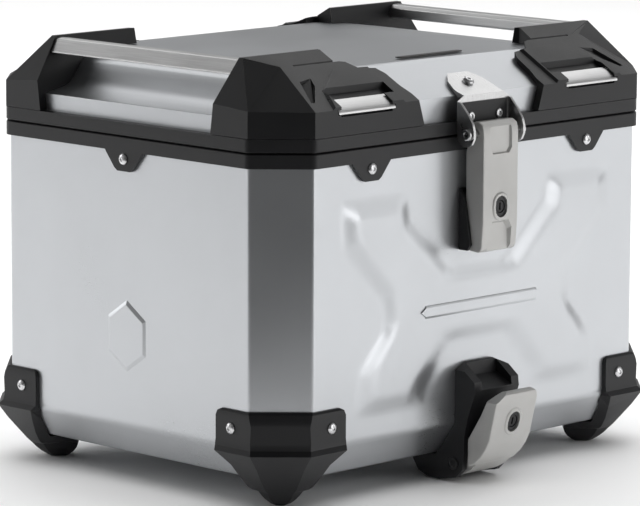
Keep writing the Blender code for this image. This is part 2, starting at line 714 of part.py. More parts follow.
for sign_y, face in ((-1, "front"), (1, "rear")):
    # Bent stainless bracket: a strap on the lid slope, a web and two ears.
    web = prism("latch_bracket_" + face, bracket_web, "y", sign_y * 167.8, sign_y * 169.0, stainless)
    strap_side = [
        (168.0, 275.6), (169.0, 273.0), (169.0, 277.0), (160.4, 279.9), (141.0, 290.6), (139.6, 289.9),
        (140.3, 288.7), (160.0, 277.4), (161.5, 275.6),
    ]
    strap = side_prism("strap_" + face, strap_side, sign_y, -22.0, 22.0)
    half_plan = [(9.0, 139.0), (19.0, 149.0), (22.0, 158.0), (24.0, 175.0)]
    strap_plan = [(-x, y) for x, y in reversed(half_plan)] + half_plan
    plan = prism("strap_plan_" + face, [(x, sign_y * y) for x, y in strap_plan], "z", 260.0, 300.0)
    combine(strap, plan, "INTERSECT")
    ears = []
    for sign in (-1, 1):
        ears.append(side_prism("ear_" + face, ear_outline, sign_y, sign * EAR_IN, sign * EAR_OUT))
    join_pieces(web, [strap] + ears)
    pin_place = (0, sign_y * PIN_Y, PIN_Z)
    pin_hole = turned("pin_hole_" + face, [(-40.0, 2.9), (40.0, 2.9)], pin_place, (1, 0, 0), 18)
    holes = [pin_hole]
    screw_places = []
    if sign_y < 0:
        screw_places = [(-15.5, 261.0), (15.5, 261.0)]
    for x, z in screw_places:
        place = (x, sign_y * 169.0, z)
        holes.append(turned("web_hole", [(-3.0, 1.9), (3.0, 1.9)], place, (0, sign_y, 0), 12))
    slope_out = Vector((0.0, sign_y * 0.5, 0.86)).normalized()
    top_place = Vector((0.0, sign_y * 152.0, 284.4))
    top_hole = turned("top_hole_" + face, [(-6.0, 1.9), (6.0, 1.9)], top_place, slope_out, 12)
    holes.append(top_hole)
    cut_away(web, holes)
    screw = [(-3.4, 1.2), (-3.4, 1.5), (0.25, 1.5), (0.25, 4.6), (0.8, 4.6), (1.9, 3.0), (2.1, 1.4)]
    lifted = [(along + 0.9, radius) for along, radius in screw]
    turned("latch_screw_top_" + face, lifted, top_place, slope_out, 16, rivet_metal)
    cut_away(lid_panel, [top_hole])
    pad_outline = [(-24.5, 249.5), (24.5, 249.5), (24.5, 272.0), (-24.5, 272.0)]
    pad = prism("latch_pad_" + face, pad_outline, "y", sign_y * 169.2, sign_y * 170.0, black)
    web_screw = [(-1.9, 1.2), (-1.9, 1.5), (1.15, 1.5), (1.15, 3.6), (1.9, 3.4), (2.3, 2.2)]
    pad_holes = []
    for x, z in screw_places:
        place = (x, sign_y * 169.0, z)
        out = (0, sign_y, 0)
        side_name = "left" if x < 0 else "right"
        pad_holes.append(turned("pad_hole", [(-3.0, 1.9), (3.0, 1.9)], place, out, 12))
        turned("latch_screw_web_" + side_name, web_screw, place, out, 16, rivet_metal)
    if pad_holes:
        cut_away(pad, pad_holes)

    # The hinge pin runs through both ears and the lever.
    pin_half = [(28.9, 2.5), (28.9, 4.4), (31.0, 4.4), (31.6, 3.2)]
    pin = [(-along, radius) for along, radius in reversed(pin_half)] + pin_half
    turned("latch_pin_" + face, pin, (0, sign_y * PIN_Y, PIN_Z), (1, 0, 0), 18, stainless)

    # Cast lever: a deep cover with a rounded knuckle, two scoops and a lock.
    lever = side_prism("latch_lever_" + face, lever_side, sign_y, -LEVER_HALF, LEVER_HALF, lever_grey)
    soften(lever, 1.6, 40.0, 2)
    inside = side_prism("lever_inside_" + face, lever_inside, sign_y, -LEVER_HALF + 2.6, LEVER_HALF - 2.6)
    scoop_plan = [(-11.5, 252.0), (-11.5, 238.0), (-8.5, 234.0), (8.5, 234.0), (11.5, 238.0), (11.5, 252.0)]
    loops = []
    for y, grow, drop in ((188.0, 1.2, 1.2), (185.2, -0.8, 0.0)):
        loop = []
        for x, z in scoop_plan:
            side_shift = grow if x > 0 else -grow
            up_shift = 2.0 if z > 250.0 else -drop
            loop.append((x + side_shift, sign_y * y, z + up_shift))
        loops.append(loop)
    upper_scoop = loft("upper_scoop_" + face, loops)
    lower_plan = [(-13.0, 150.0), (-12.0, 176.0), (-8.0, 181.5), (8.0, 181.5), (12.0, 176.0), (13.0, 150.0)]
    loops = []
    for y, grow in ((189.5, 2.4), (183.4, -1.2)):
        loop = []
        for x, z in lower_plan:
            side_shift = grow if x > 0 else -grow
            up_shift = grow if z > 170.0 else 0.0
            loop.append((x + side_shift, sign_y * y, z + up_shift))
        loops.append(loop)
    lower_scoop = loft("lower_scoop_" + face, loops)
    lock_place = (0.0, sign_y * LEVER_FACE, 193.0)
    out = (0.0, sign_y, 0.0)
    up = (0.0, 0.0, 1.0)
    ring = oval_body("lock_ring_" + face, lock_place, out, up, LOCK_RING)
    recess = oval_body("lock_recess_" + face, lock_place, out, up, LOCK_RECESS)
    plug_room = turned("plug_room_" + face, [(-14.0, 4.9), (-3.0, 4.9)], lock_place, out, 20)
    lever_hole = turned("lever_hole_" + face, [(-40.0, 2.9), (40.0, 2.9)], pin_place, (1, 0, 0), 18)
    cut_away(lever, [inside, upper_scoop, lower_scoop])
    join_pieces(lever, [ring])
    cut_away(lever, [recess, plug_room, lever_hole])
    liner, lock_mark = lock_set(face, lock_place, out, up)
    if sign_y < 0:
        hinge = empty_at("front_latch_axis", (0, -PIN_Y, PIN_Z))
        ride_on(lever, hinge)
        ride_on(liner, hinge)
        lock_mark.parent = hinge
        lock_mark.location = lock_mark.location - hinge.location

    # Black catch housing on the wall behind the lever's lower end.
    catch_side = [
        (HALF_DEPTH + 0.3, 160.0), (174.0, 160.0), (176.8, 164.5), (171.0, 197.0), (168.5, 203.0),
        (HALF_DEPTH + 0.3, 207.0),
    ]
    catch = side_prism("latch_catch_" + face, catch_side, sign_y, -22.6, 22.6, black)
    room_side = [(165.8, 157.0), (180.0, 157.0), (180.0, 210.0), (165.8, 210.0)]
    catch_room = side_prism("catch_room_" + face, room_side, sign_y, -LEVER_HALF - 0.4, LEVER_HALF + 0.4)
    cut_away(catch, [catch_room])
    hook_side = [(165.0, 166.5), (172.5, 169.0), (174.0, 172.5), (172.5, 176.0), (165.0, 180.0)]
    hook = side_prism("catch_hook_" + face, hook_side, sign_y, -12.0, 12.0)
    join_pieces(catch, [hook])

# ---------------------------------------------------------------- lower carrier lock
PIVOT = (0.0, -LOWER_PIVOT_Y, LOWER_PIVOT_Z)
housing_side = [
    (155.0, 73.4), (167.5, 73.4), (184.5, 60.5), (185.4, 53.0), (178.0, 33.0), (174.0, 17.0),
    (174.2, 4.0), (173.2, -8.0), (166.0, -15.0), (149.0, -18.4), (138.0, -18.4), (127.0, -14.5),
    (121.0, -6.0), (122.5, 2.0), (140.0, 3.0), (155.0, 20.0),
]
housing = side_prism("carrier_lock_housing", housing_side, -1, -24.5, 24.5, black)
housing_tools = [body_space]
housing_bevel = [(-30.0, 80.0), (-30.0, 68.0), (-24.7, 68.0), (-12.0, 74.5), (-12.0, 80.0)]
for sign in (-1, 1):
    outline = [(sign * x, z) for x, z in housing_bevel]
    housing_tools.append(prism("housing_bevel", outline, "y", -200.0, -150.0))
roof_side = [(167.6, 90.0), (168.6, 62.8), (181.4, 56.4), (198.0, 48.0), (198.0, 90.0)]
housing_tools.append(side_prism("housing_roof_room", roof_side, -1, -16.5, 16.5))
slot_side = [
    (152.8, 8.0), (163.0, 8.0), (176.0, 18.5), (184.0, 30.0), (200.0, 34.0), (200.0, -30.0),
    (152.8, -30.0),
]
housing_tools.append(side_prism("housing_slot", slot_side, -1, -19.9, 19.9))
housing_tools.append(turned("housing_pin_hole", [(-40.0, 3.4), (40.0, 3.4)], PIVOT, (1, 0, 0), 18))
cut_away(housing, housing_tools)

plate_side = [
    (199.4, 54.3), (203.8, 54.3), (205.7, 52.4), (206.2, 48.0), (198.9, 17.6), (195.0, 10.0),
    (190.0, 3.4), (183.0, -2.6),
    (176.4, -5.5), (176.4, 16.0), (184.0, 27.7), (189.3, 36.0), (197.3, 51.5),
]
lower_lever = side_prism("carrier_lock_lever", plate_side, -1, -23.0, 23.0, lever_grey)
soften(lower_lever, 1.4, 40.0, 2)
top_cut = [(-30.0, 60.0), (-30.0, 42.0), (-23.1, 47.0), (-9.0, 54.5), (-9.0, 60.0)]
small_cut = [(30.0, 60.0), (30.0, 46.0), (23.1, 50.0), (19.0, 54.5), (19.0, 60.0)]
cuts = []
for outline in (top_cut, small_cut):
    cuts.append(prism("lever_corner", outline, "y", -220.0, -180.0))
cut_away(lower_lever, cuts)
arm_side = [(LOWER_PIVOT_Y + a, LOWER_PIVOT_Z + b) for a, b in circle(9.8, 20)]
arm = side_prism("lever_boss", arm_side, -1, -19.4, 19.4)
link_side = [
    (163.5, 5.6), (178.0, 16.0), (182.0, 10.0), (182.0, -3.2), (176.0, -8.4), (168.5, -12.4),
    (160.0, -8.0),
]
link = side_prism("lever_link", link_side, -1, -19.2, 19.2)
join_pieces(lower_lever, [arm, link])
lower_place = (0.0, -202.0, 30.5)
lower_out = (0.0, -0.9723, -0.2337)
lower_up = (0.0, -0.2337, 0.9723)
ring = oval_body("lock_ring_lower", lower_place, lower_out, lower_up, LOCK_RING)
recess = oval_body("lock_recess_lower", lower_place, lower_out, lower_up, LOCK_RECESS)
plug_room = turned("plug_room_lower", [(-9.6, 4.9), (-3.0, 4.9)], lower_place, lower_out, 20)
lever_hole = turned("lever_hole_lower", [(-40.0, 3.4), (40.0, 3.4)], PIVOT, (1, 0, 0), 18)
join_pieces(lower_lever, [ring])
cut_away(lower_lever, [recess, plug_room, lever_hole])
liner, lock_mark = lock_set("lower", lower_place, lower_out, lower_up)
lower_hinge = empty_at("carrier_lever_axis", PIVOT)
ride_on(lower_lever, lower_hinge)
ride_on(liner, lower_hinge)
lock_mark.parent = lower_hinge
lock_mark.location = lock_mark.location - lower_hinge.location
pin_half = [(24.8, 3.0), (24.8, 5.0), (25.9, 5.0), (26.4, 3.4)]
lower_pin = [(-along, radius) for along, radius in reversed(pin_half)] + pin_half
turned("carrier_lock_pin", lower_pin, PIVOT, (1, 0, 0), 18, stainless)

# ---------------------------------------------------------------- locating lugs under the rear edge
lug_bar = box("rear_lug_bar", (-62.0, 112.0, -4.4), (62.0, 140.0, -0.4), black)
lugs = []
for sign in (-1, 1):
    lugs.append(box("rear_lug", (sign * 46.0 - 11.0, 124.0, -13.0), (sign * 46.0 + 11.0, 136.0, -3.0)))
join_pieces(lug_bar, lugs)

# ---------------------------------------------------------------- the lid rides on the rear pin
lid_axis = empty_at("lid_axis", (0, PIN_Y, PIN_Z))
LID_NAMES = ("lid_", "carry_bar", "lashing_bar", "latch_bracket", "latch_pad", "latch_screw")
for made in list(case_set.objects):
    if made.type == "MESH" and made.name.startswith(LID_NAMES):
        ride_on(made, lid_axis)
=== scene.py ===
"""Looks of the hard aluminium motorcycle top case: fine surfaces, materials, studio and camera.

Everything is in metres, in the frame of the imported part: +Z up, the front with its two latches
towards -Y.  Sizes written with MM are millimetres.
"""
import json
import math

import bmesh
import bpy
import numpy as np
from mathutils import Matrix, Vector

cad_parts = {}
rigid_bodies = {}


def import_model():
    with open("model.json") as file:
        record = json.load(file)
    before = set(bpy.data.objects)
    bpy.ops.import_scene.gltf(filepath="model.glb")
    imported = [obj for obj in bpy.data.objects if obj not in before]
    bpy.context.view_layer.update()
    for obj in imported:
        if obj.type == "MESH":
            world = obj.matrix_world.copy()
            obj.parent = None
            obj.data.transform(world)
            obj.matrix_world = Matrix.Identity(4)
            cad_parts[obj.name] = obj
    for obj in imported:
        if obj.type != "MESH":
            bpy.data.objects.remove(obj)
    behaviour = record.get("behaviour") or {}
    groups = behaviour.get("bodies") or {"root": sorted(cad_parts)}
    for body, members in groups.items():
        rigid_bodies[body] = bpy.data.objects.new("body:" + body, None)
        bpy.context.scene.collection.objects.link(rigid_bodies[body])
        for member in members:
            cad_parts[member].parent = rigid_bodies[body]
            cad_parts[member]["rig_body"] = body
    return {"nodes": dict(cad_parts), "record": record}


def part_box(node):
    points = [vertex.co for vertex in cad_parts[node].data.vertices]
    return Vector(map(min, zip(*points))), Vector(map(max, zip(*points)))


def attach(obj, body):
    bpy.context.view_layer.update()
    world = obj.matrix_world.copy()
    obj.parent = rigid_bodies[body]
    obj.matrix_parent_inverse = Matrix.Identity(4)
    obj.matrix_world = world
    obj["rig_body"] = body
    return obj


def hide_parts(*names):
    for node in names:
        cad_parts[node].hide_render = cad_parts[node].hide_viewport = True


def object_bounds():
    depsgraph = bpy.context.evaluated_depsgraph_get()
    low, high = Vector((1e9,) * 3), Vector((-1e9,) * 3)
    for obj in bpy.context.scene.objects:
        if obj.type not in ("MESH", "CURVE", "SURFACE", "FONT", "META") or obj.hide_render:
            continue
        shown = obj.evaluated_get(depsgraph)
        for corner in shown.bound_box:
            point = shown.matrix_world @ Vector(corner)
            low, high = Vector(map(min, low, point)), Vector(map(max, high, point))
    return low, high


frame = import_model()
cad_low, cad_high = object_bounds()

MM = 0.001
nodes = frame["nodes"]
scene = bpy.context.scene


# ---------------------------------------------------------------- material building blocks
class Recipe:
    """A node material while it is being put together."""

    def __init__(self, name):
        self.made = bpy.data.materials.new(name)
        self.made.use_nodes = True
        self.tree = self.made.node_tree
        self.shader = self.tree.nodes["Principled BSDF"]
        self.place = self.add("ShaderNodeTexCoord").outputs["Object"]

    def add(self, kind, **settings):
        """Add a node and set its properties."""
        node = self.tree.nodes.new(kind)
        for key, value in settings.items():
            setattr(node, key, value)
        return node

    def feed(self, socket, value):
        """Link an output to a socket, or set the socket's own value."""
        if isinstance(value, bpy.types.NodeSocket):
            self.tree.links.new(value, socket)
        else:
            socket.default_value = value

    def stretch(self, factors):
        """Return the object's coordinates scaled along each axis."""
        node = self.add("ShaderNodeMapping")
        self.feed(node.inputs["Vector"], self.place)
        node.inputs["Scale"].default_value = factors
        return node.outputs["Vector"]

    def noise(self, scale, detail=2.0, roughness=0.5, vector=None):
        """Return a noise value around one half."""
        node = self.add("ShaderNodeTexNoise")
        self.feed(node.inputs["Vector"], vector or self.place)
        node.inputs["Scale"].default_value = scale
        node.inputs["Detail"].default_value = detail
        node.inputs["Roughness"].default_value = roughness
        return node.outputs["Fac"]

    def cells(self, scale):
        """Return the distance to the nearest of scattered points, for pitted grain."""
        node = self.add("ShaderNodeTexVoronoi")
        self.feed(node.inputs["Vector"], self.place)
        node.inputs["Scale"].default_value = scale
        return node.outputs["Distance"]

    def span(self, value, low, high, out_low, out_high):
        """Map a value from one range to another."""
        node = self.add("ShaderNodeMapRange")
        self.feed(node.inputs["Value"], value)
        node.inputs["From Min"].default_value = low
        node.inputs["From Max"].default_value = high
        node.inputs["To Min"].default_value = out_low
        node.inputs["To Max"].default_value = out_high
        return node.outputs["Result"]

    def math(self, operation, first, second):
        """Combine two values."""
        node = self.add("ShaderNodeMath", operation=operation)
        self.feed(node.inputs[0], first)
        self.feed(node.inputs[1], second)
        return node.outputs["Value"]

    def blend(self, share, first, second):
        """Mix two colours."""
        node = self.add("ShaderNodeMix", data_type="RGBA")
        self.feed(node.inputs["Factor"], share)
        self.feed(node.inputs["A"], (*first, 1.0) if isinstance(first, tuple) else first)
        self.feed(node.inputs["B"], (*second, 1.0) if isinstance(second, tuple) else second)
        return node.outputs["Result"]

    def bump(self, height, strength, distance, normal=None):
        """Return a normal raised by a height value."""
        node = self.add("ShaderNodeBump")
        node.inputs["Strength"].default_value = strength
        node.inputs["Distance"].default_value = distance
        self.feed(node.inputs["Height"], height)
        if normal is not None:
            self.feed(node.inputs["Normal"], normal)
        return node.outputs["Normal"]

    def edges(self, radius):
        """Return a value that rises to one along sharp edges."""
        rounded = self.add("ShaderNodeBevel", samples=4)
        rounded.inputs["Radius"].default_value = radius
        flat = self.add("ShaderNodeNewGeometry").outputs["Normal"]
        compare = self.add("ShaderNodeVectorMath", operation="DOT_PRODUCT")
        self.feed(compare.inputs[0], rounded.outputs["Normal"])
        self.feed(compare.inputs[1], flat)
        return self.span(compare.outputs["Value"], 0.995, 0.90, 0.0, 1.0)

    def finish(self, colour, metallic, roughness, normal, specular=0.5):
        """Connect the surface and return the material."""
        full_colour = (*colour, 1.0) if isinstance(colour, tuple) else colour
        self.feed(self.shader.inputs["Base Color"], full_colour)
        self.shader.inputs["Metallic"].default_value = metallic
        self.feed(self.shader.inputs["Roughness"], roughness)
        self.feed(self.shader.inputs["Normal"], normal)
        self.shader.inputs["Specular IOR Level"].default_value = specular
        return self.made


def anodised(name, colour, roughness, grain):
    """Satin anodised aluminium with rolling grain, cloudy etching and rubbed edges."""
    recipe = Recipe(name)
    clouds = recipe.noise(7.0, 3.0)
    lines = recipe.noise(1.0, 3.0, 0.6, recipe.stretch(grain))
    speckle = recipe.noise(2600.0, 1.0)
    patches = recipe.span(recipe.noise(60.0), 0.42, 0.62, 0.0, 0.7)
    rubbed = recipe.math("MULTIPLY", recipe.edges(1.1 * MM), patches)
    darker = tuple(value * 0.94 for value in colour)
    brighter = tuple(min(value * 1.04, 1.0) for value in colour)
    mixed = recipe.blend(recipe.span(clouds, 0.3, 0.7, 0.0, 1.0), darker, brighter)
    mixed = recipe.blend(recipe.math("MULTIPLY", rubbed, 0.6), mixed, (0.86, 0.87, 0.88))
    rough = recipe.span(clouds, 0.3, 0.7, roughness - 0.03, roughness + 0.03)
    rough = recipe.math("ADD", rough, recipe.span(lines, 0.3, 0.7, -0.02, 0.02))
    rough = recipe.math("SUBTRACT", rough, recipe.math("MULTIPLY", rubbed, 0.08))
    normal = recipe.bump(lines, 0.04, 0.03 * MM)
    normal = recipe.bump(speckle, 0.06, 0.03 * MM, normal)
    return recipe.finish(mixed, 0.9, rough, normal)


def moulded(name, colour, roughness):
    """Glass-filled black plastic with a fine spark-eroded grain and scuffed edges."""
    recipe = Recipe(name)
    grain = recipe.noise(1500.0, 2.0, 0.6)
    pits = recipe.cells(1100.0)
    clouds = recipe.noise(14.0, 3.0)
    patches = recipe.span(recipe.noise(90.0), 0.4, 0.65, 0.1, 0.9)
    scuffed = recipe.math("MULTIPLY", recipe.edges(0.9 * MM), patches)
    paler = tuple(value * 1.25 + 0.002 for value in colour)
    mixed = recipe.blend(recipe.span(clouds, 0.3, 0.7, 0.0, 1.0), colour, paler)
    mixed = recipe.blend(recipe.math("MULTIPLY", scuffed, 0.35), mixed, (0.14, 0.14, 0.145))
    rough = recipe.span(clouds, 0.3, 0.7, roughness - 0.04, roughness + 0.05)
    rough = recipe.math("ADD", rough, recipe.span(grain, 0.35, 0.65, -0.03, 0.03))
    normal = recipe.bump(pits, 0.10, 0.10 * MM)
    normal = recipe.bump(grain, 0.16, 0.10 * MM, normal)
    return recipe.finish(mixed, 0.0, rough, normal, 0.42)


def powder_coat(name, colour, roughness):
    """Warm grey powder coat on a casting, with orange peel and paint worn thin on edges."""
    recipe = Recipe(name)
    peel = recipe.noise(420.0, 2.0, 0.5)
    dust = recipe.noise(2200.0, 1.0)
    clouds = recipe.noise(22.0, 3.0)
    patches = recipe.span(recipe.noise(120.0), 0.45, 0.62, 0.0, 1.0)
    worn = recipe.math("MULTIPLY", recipe.edges(0.9 * MM), patches)
    darker = tuple(value * 0.92 for value in colour)
    brighter = tuple(value * 1.05 for value in colour)
    mixed = recipe.blend(recipe.span(clouds, 0.3, 0.7, 0.0, 1.0), darker, brighter)
    mixed = recipe.blend(recipe.math("MULTIPLY", worn, 0.5), mixed, (0.66, 0.66, 0.65))
    rough = recipe.span(clouds, 0.3, 0.7, roughness - 0.04, roughness + 0.04)
    normal = recipe.bump(peel, 0.10, 0.12 * MM)
    normal = recipe.bump(dust, 0.05, 0.04 * MM, normal)
    return recipe.finish(mixed, 0.35, rough, normal, 0.5)


def brushed(name, colour, roughness, grain):
    """Brushed or drawn metal whose scratches run along one axis."""
    recipe = Recipe(name)
    lines = recipe.noise(1.0, 4.0, 0.65, recipe.stretch(grain))
    clouds = recipe.noise(30.0, 2.0)
    rubbed = recipe.edges(0.6 * MM)
    darker = tuple(value * 0.86 for value in colour)
    brighter = tuple(min(value * 1.08, 1.0) for value in colour)
    mixed = recipe.blend(recipe.span(lines, 0.3, 0.7, 0.0, 1.0), darker, brighter)
    mixed = recipe.blend(recipe.math("MULTIPLY", rubbed, 0.5), mixed, (0.9, 0.9, 0.9))
    rough = recipe.span(lines, 0.3, 0.7, roughness - 0.06, roughness + 0.06)
    rough = recipe.math("ADD", rough, recipe.span(clouds, 0.3, 0.7, -0.03, 0.03))
    normal = recipe.bump(lines, 0.12, 0.04 * MM)
    return recipe.finish(mixed, 1.0, rough, normal)


def soft_rubber(name, colour):
    """Matt extruded rubber with a dusty bloom."""
    recipe = Recipe(name)
    bloom = recipe.noise(160.0, 3.0)
    grain = recipe.noise(1800.0, 2.0)
    paler = tuple(value * 1.8 for value in colour)
    mixed = recipe.blend(recipe.span(bloom, 0.35, 0.65, 0.0, 1.0), colour, paler)
    normal = recipe.bump(grain, 0.2, 0.08 * MM)
    return recipe.finish(mixed, 0.0, recipe.span(bloom, 0.3, 0.7, 0.7, 0.85), normal, 0.3)


SILVER_TONE = (0.575, 0.59, 0.61)
silver = anodised("anodised_sheet", SILVER_TONE, 0.31, (260.0, 260.0, 2200.0))
lid_silver = anodised("anodised_lid_sheet", SILVER_TONE, 0.37, (60.0, 1500.0, 1500.0))
plastic = moulded("grained_black_plastic", (0.0105, 0.0105, 0.0118), 0.44)
gloss_black = moulded("smooth_black_zinc", (0.008, 0.008, 0.009), 0.36)
lever_paint = powder_coat("lever_powder_coat", (0.58, 0.575, 0.56), 0.42)
stainless = brushed("brushed_stainless", (0.60, 0.60, 0.60), 0.30, (2600.0, 120.0, 120.0))
bright_metal = brushed("turned_bright_metal", (0.74, 0.74, 0.75), 0.28, (900.0, 900.0, 900.0))
carry_metal = brushed("drawn_bar_along_depth", (0.68, 0.68, 0.68), 0.38, (1800.0, 25.0, 1800.0))
lashing_metal = brushed("drawn_bar_along_width", (0.70, 0.70, 0.70), 0.38, (25.0, 1800.0, 1800.0))
rubber = soft_rubber("seal_rubber_fine", (0.018, 0.018, 0.018))

SLOT_LOOKS = {
    "silver_sheet": silver, "black_plastic": plastic, "lever_grey": lever_paint,
    "stainless": stainless, "rivet_metal": bright_metal, "bar_metal": carry_metal,
    "seal_rubber": rubber, "lock_black": gloss_black,
}


# ---------------------------------------------------------------- surface finishing
SHARP_ANGLE = math.radians(38.0)
BEVEL_ANGLE = 28.0
WELD_GAP = 0.004 * MM
FLAT_ANGLE = math.radians(0.4)


def smooth_group():
    """Make the node group that shades smooth except across sharp edges."""
    group = bpy.data.node_groups.new("smooth_but_sharp_edges", "GeometryNodeTree")
    group.interface.new_socket("Geometry", in_out="INPUT", socket_type="NodeSocketGeometry")
    group.interface.new_socket("Geometry", in_out="OUTPUT", socket_type="NodeSocketGeometry")
    start = group.nodes.new("NodeGroupInput")
    end = group.nodes.new("NodeGroupOutput")
    faces = group.nodes.new("GeometryNodeSetShadeSmooth")
    creases = group.nodes.new("GeometryNodeSetShadeSmooth")
    creases.domain = "EDGE"
    creases.inputs["Shade Smooth"].default_value = False
    angle = group.nodes.new("GeometryNodeInputMeshEdgeAngle")
    sharp = group.nodes.new("FunctionNodeCompare")
    sharp.operation = "GREATER_THAN"
    sharp.inputs["B"].default_value = SHARP_ANGLE
    group.links.new(angle.outputs["Unsigned Angle"], sharp.inputs["A"])
    group.links.new(start.outputs[0], faces.inputs["Geometry"])
    group.links.new(faces.outputs[0], creases.inputs["Geometry"])
    group.links.new(sharp.outputs[0], creases.inputs["Selection"])
    group.links.new(creases.outputs[0], end.inputs[0])
    return group


SMOOTH = smooth_group()


def finish_edges(target, width, segments=2, angle=BEVEL_ANGLE):
    """Round the sharp edges by modifiers and shade the result cleanly."""
    if width > 0.0:
        rounded = target.modifiers.new("rounded_edges", "BEVEL")
        rounded.width = width
        rounded.segments = segments
        rounded.limit_method = "ANGLE"
        rounded.angle_limit = math.radians(angle)
        rounded.use_clamp_overlap = True
        rounded.miter_outer = "MITER_ARC"
    smooth = target.modifiers.new("smooth", "NODES")
    smooth.node_group = SMOOTH
    flat = target.modifiers.new("clean_normals", "WEIGHTED_NORMAL")
    flat.keep_sharp = True
    flat.weight = 80


def refine(name, width, segments=2, look=None, angle=BEVEL_ANGLE):
    """Give a CAD node merged faces, rounded edges and a detailed material."""
    target = nodes[name]
    weld = target.modifiers.new("weld", "WELD")
    weld.merge_threshold = WELD_GAP
    merged = target.modifiers.new("merge_flat_faces", "DECIMATE")
    merged.decimate_type = "DISSOLVE"
    merged.angle_limit = FLAT_ANGLE
    finish_edges(target, width, segments, angle)
    paint(target, look or SLOT_LOOKS[slot_of(name)])


def slot_of(name):
    """Return the record's material slot of a CAD node."""
    for part in frame["record"]["subparts"]:
        if part["node"] == name:
            return part["material_slot"]
    raise KeyError(name)


def paint(target, look):
    """Put one material on every slot of an object."""
    target.data.materials.clear()
    target.data.materials.append(look)


def new_piece(name, points, faces, look, body):
    """Make a mesh piece in place and ride it on a body."""
    mesh = bpy.data.meshes.new(name)
    mesh.from_pydata([tuple(point) for point in points], [], faces)
    work = bmesh.new()
    work.from_mesh(mesh)
    bmesh.ops.recalc_face_normals(work, faces=work.faces)
    work.to_mesh(mesh)
    work.free()
    made = bpy.data.objects.new(name, mesh)
    scene.collection.objects.link(made)
    mesh.materials.append(look)
    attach(made, body)
    return made


def skin(rings, close_start=True, close_end=True):
    """Return the points and faces of a surface through equal closed rings."""
    count = len(rings[0])
    points = [point for ring in rings for point in ring]
    faces = []
    for level in range(len(rings) - 1):
        for index in range(count):
            after = (index + 1) % count
            low = level * count
            faces.append((low + index, low + after, low + count + after, low + count + index))
    if close_start:
        faces.append(tuple(reversed(range(count))))
    if close_end:
        last = (len(rings) - 1) * count
        faces.append(tuple(range(last, last + count)))
    return points, faces


def axes_of(axis):
    """Return two directions square to an axis."""
    main = Vector(axis).normalized()
    side = main.orthogonal().normalized()
    return main, side, main.cross(side)


def turned(name, profile, centre, axis, look, body, slot, count=40):
    """Turned piece; each level is (along, radius) or (along, radius, number of flats)."""
    main, side, other = axes_of(axis)
    rings = []
    for level in profile:
        along, radius = level[0], level[1]
        flats = level[2] if len(level) > 2 else 0
        ring = []
        for index in range(count):
            angle = math.tau * index / count
            reach = radius
            if flats:
                sector = math.tau / flats
                inside = (angle % sector) - sector / 2.0
                reach = radius * math.cos(sector / 2.0) / math.cos(inside)
            offset = side * math.cos(angle) * reach + other * math.sin(angle) * reach
            ring.append(Vector(centre) + (main * along + offset))
        rings.append(ring)
    points, faces = skin(rings)
    return new_piece(name, points, faces, look, body)


# ---------------------------------------------------------------- the pressed body shell
shell_low, shell_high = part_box("body_shell")
PAD_HEIGHT = 1.0 * MM
LOZENGE_HEIGHT = 1.1 * MM
PRESS_HEIGHT = 3.6 * MM
HALF_WIDTH = shell_high.x - PAD_HEIGHT
HALF_DEPTH = shell_high.y - PRESS_HEIGHT
RIM_Z = shell_high.z
CORNER_CUT = 33.0 * MM
BEND_RADIUS = 5.0 * MM
SHEET = 2.0 * MM
GRID = 3.0 * MM
BEND_STEPS = 6
CUT_STEPS = 6
STRAIGHT_START_Z = 34.0 * MM
SEAT_ROUNDING = 9.0


def mirrored(right_half):
    """Close an outline whose left half mirrors its right half."""
    return right_half + [(-x, z) for x, z in reversed(right_half)]


# The pressed X: its flat top, and the foot where its flanks meet the wall.
PRESS_TOP = mirrored([
    (42, 136), (90, 179), (92, 194), (130, 194), (127, 177), (89, 136),
    (85, 112), (109, 80), (111, 60), (80, 60), (77, 66), (44, 104),
])
PRESS_FOOT = mirrored([
    (26, 148), (72, 193), (76, 210), (151, 210), (150, 172), (108, 133),
    (107, 107), (133, 80), (135, 44), (58, 44), (55, 58), (28, 89),
])


def wall_outline(offset):
    """Plan of the body moved outward: rows of (x, y, outward x, outward y, wall name)."""
    half_x = HALF_WIDTH + offset
    half_y = HALF_DEPTH + offset
    cut = CORNER_CUT + offset * (2.0 - math.sqrt(2.0))
    radius = min(max(BEND_RADIUS + offset, 2.5 * MM), 9.0 * MM)
    corners = [
        (half_x - cut, -half_y), (half_x, -half_y + cut),
        (half_x, half_y - cut), (half_x - cut, half_y),
        (-half_x + cut, half_y), (-half_x, half_y - cut),
        (-half_x, -half_y + cut), (-half_x + cut, -half_y),
    ]
    walls = ["cut", "right", "cut", "rear", "cut", "left", "cut", "front"]
    wide_steps = round(2.0 * (HALF_WIDTH - CORNER_CUT) / GRID)
    deep_steps = round(2.0 * (HALF_DEPTH - CORNER_CUT) / GRID)
    steps = {
        "front": wide_steps, "rear": wide_steps,
        "left": deep_steps, "right": deep_steps,
        "cut": CUT_STEPS,
    }
    reach = radius * math.tan(math.radians(22.5))
    rows = []
    for index, wall in enumerate(walls):
        here = Vector(corners[index])
        ahead = Vector(corners[(index + 1) % 8])
        along = (ahead - here).normalized()
        out = Vector((along.y, -along.x))
        begin = here + along * reach
        finish = ahead - along * reach
        for step in range(steps[wall] + 1):
            point = begin.lerp(finish, step / steps[wall])
            rows.append((point.x, point.y, out.x, out.y, wall))
        following = Vector(corners[(index + 2) % 8])
        turn_to = (following - ahead).normalized()
        out_next = Vector((turn_to.y, -turn_to.x))
        middle = finish - out * radius
        for step in range(1, BEND_STEPS):
            mixed = out.lerp(out_next, step / BEND_STEPS).normalized()
            point = middle + mixed * radius
            rows.append((point.x, point.y, mixed.x, mixed.y, "bend"))
    return rows


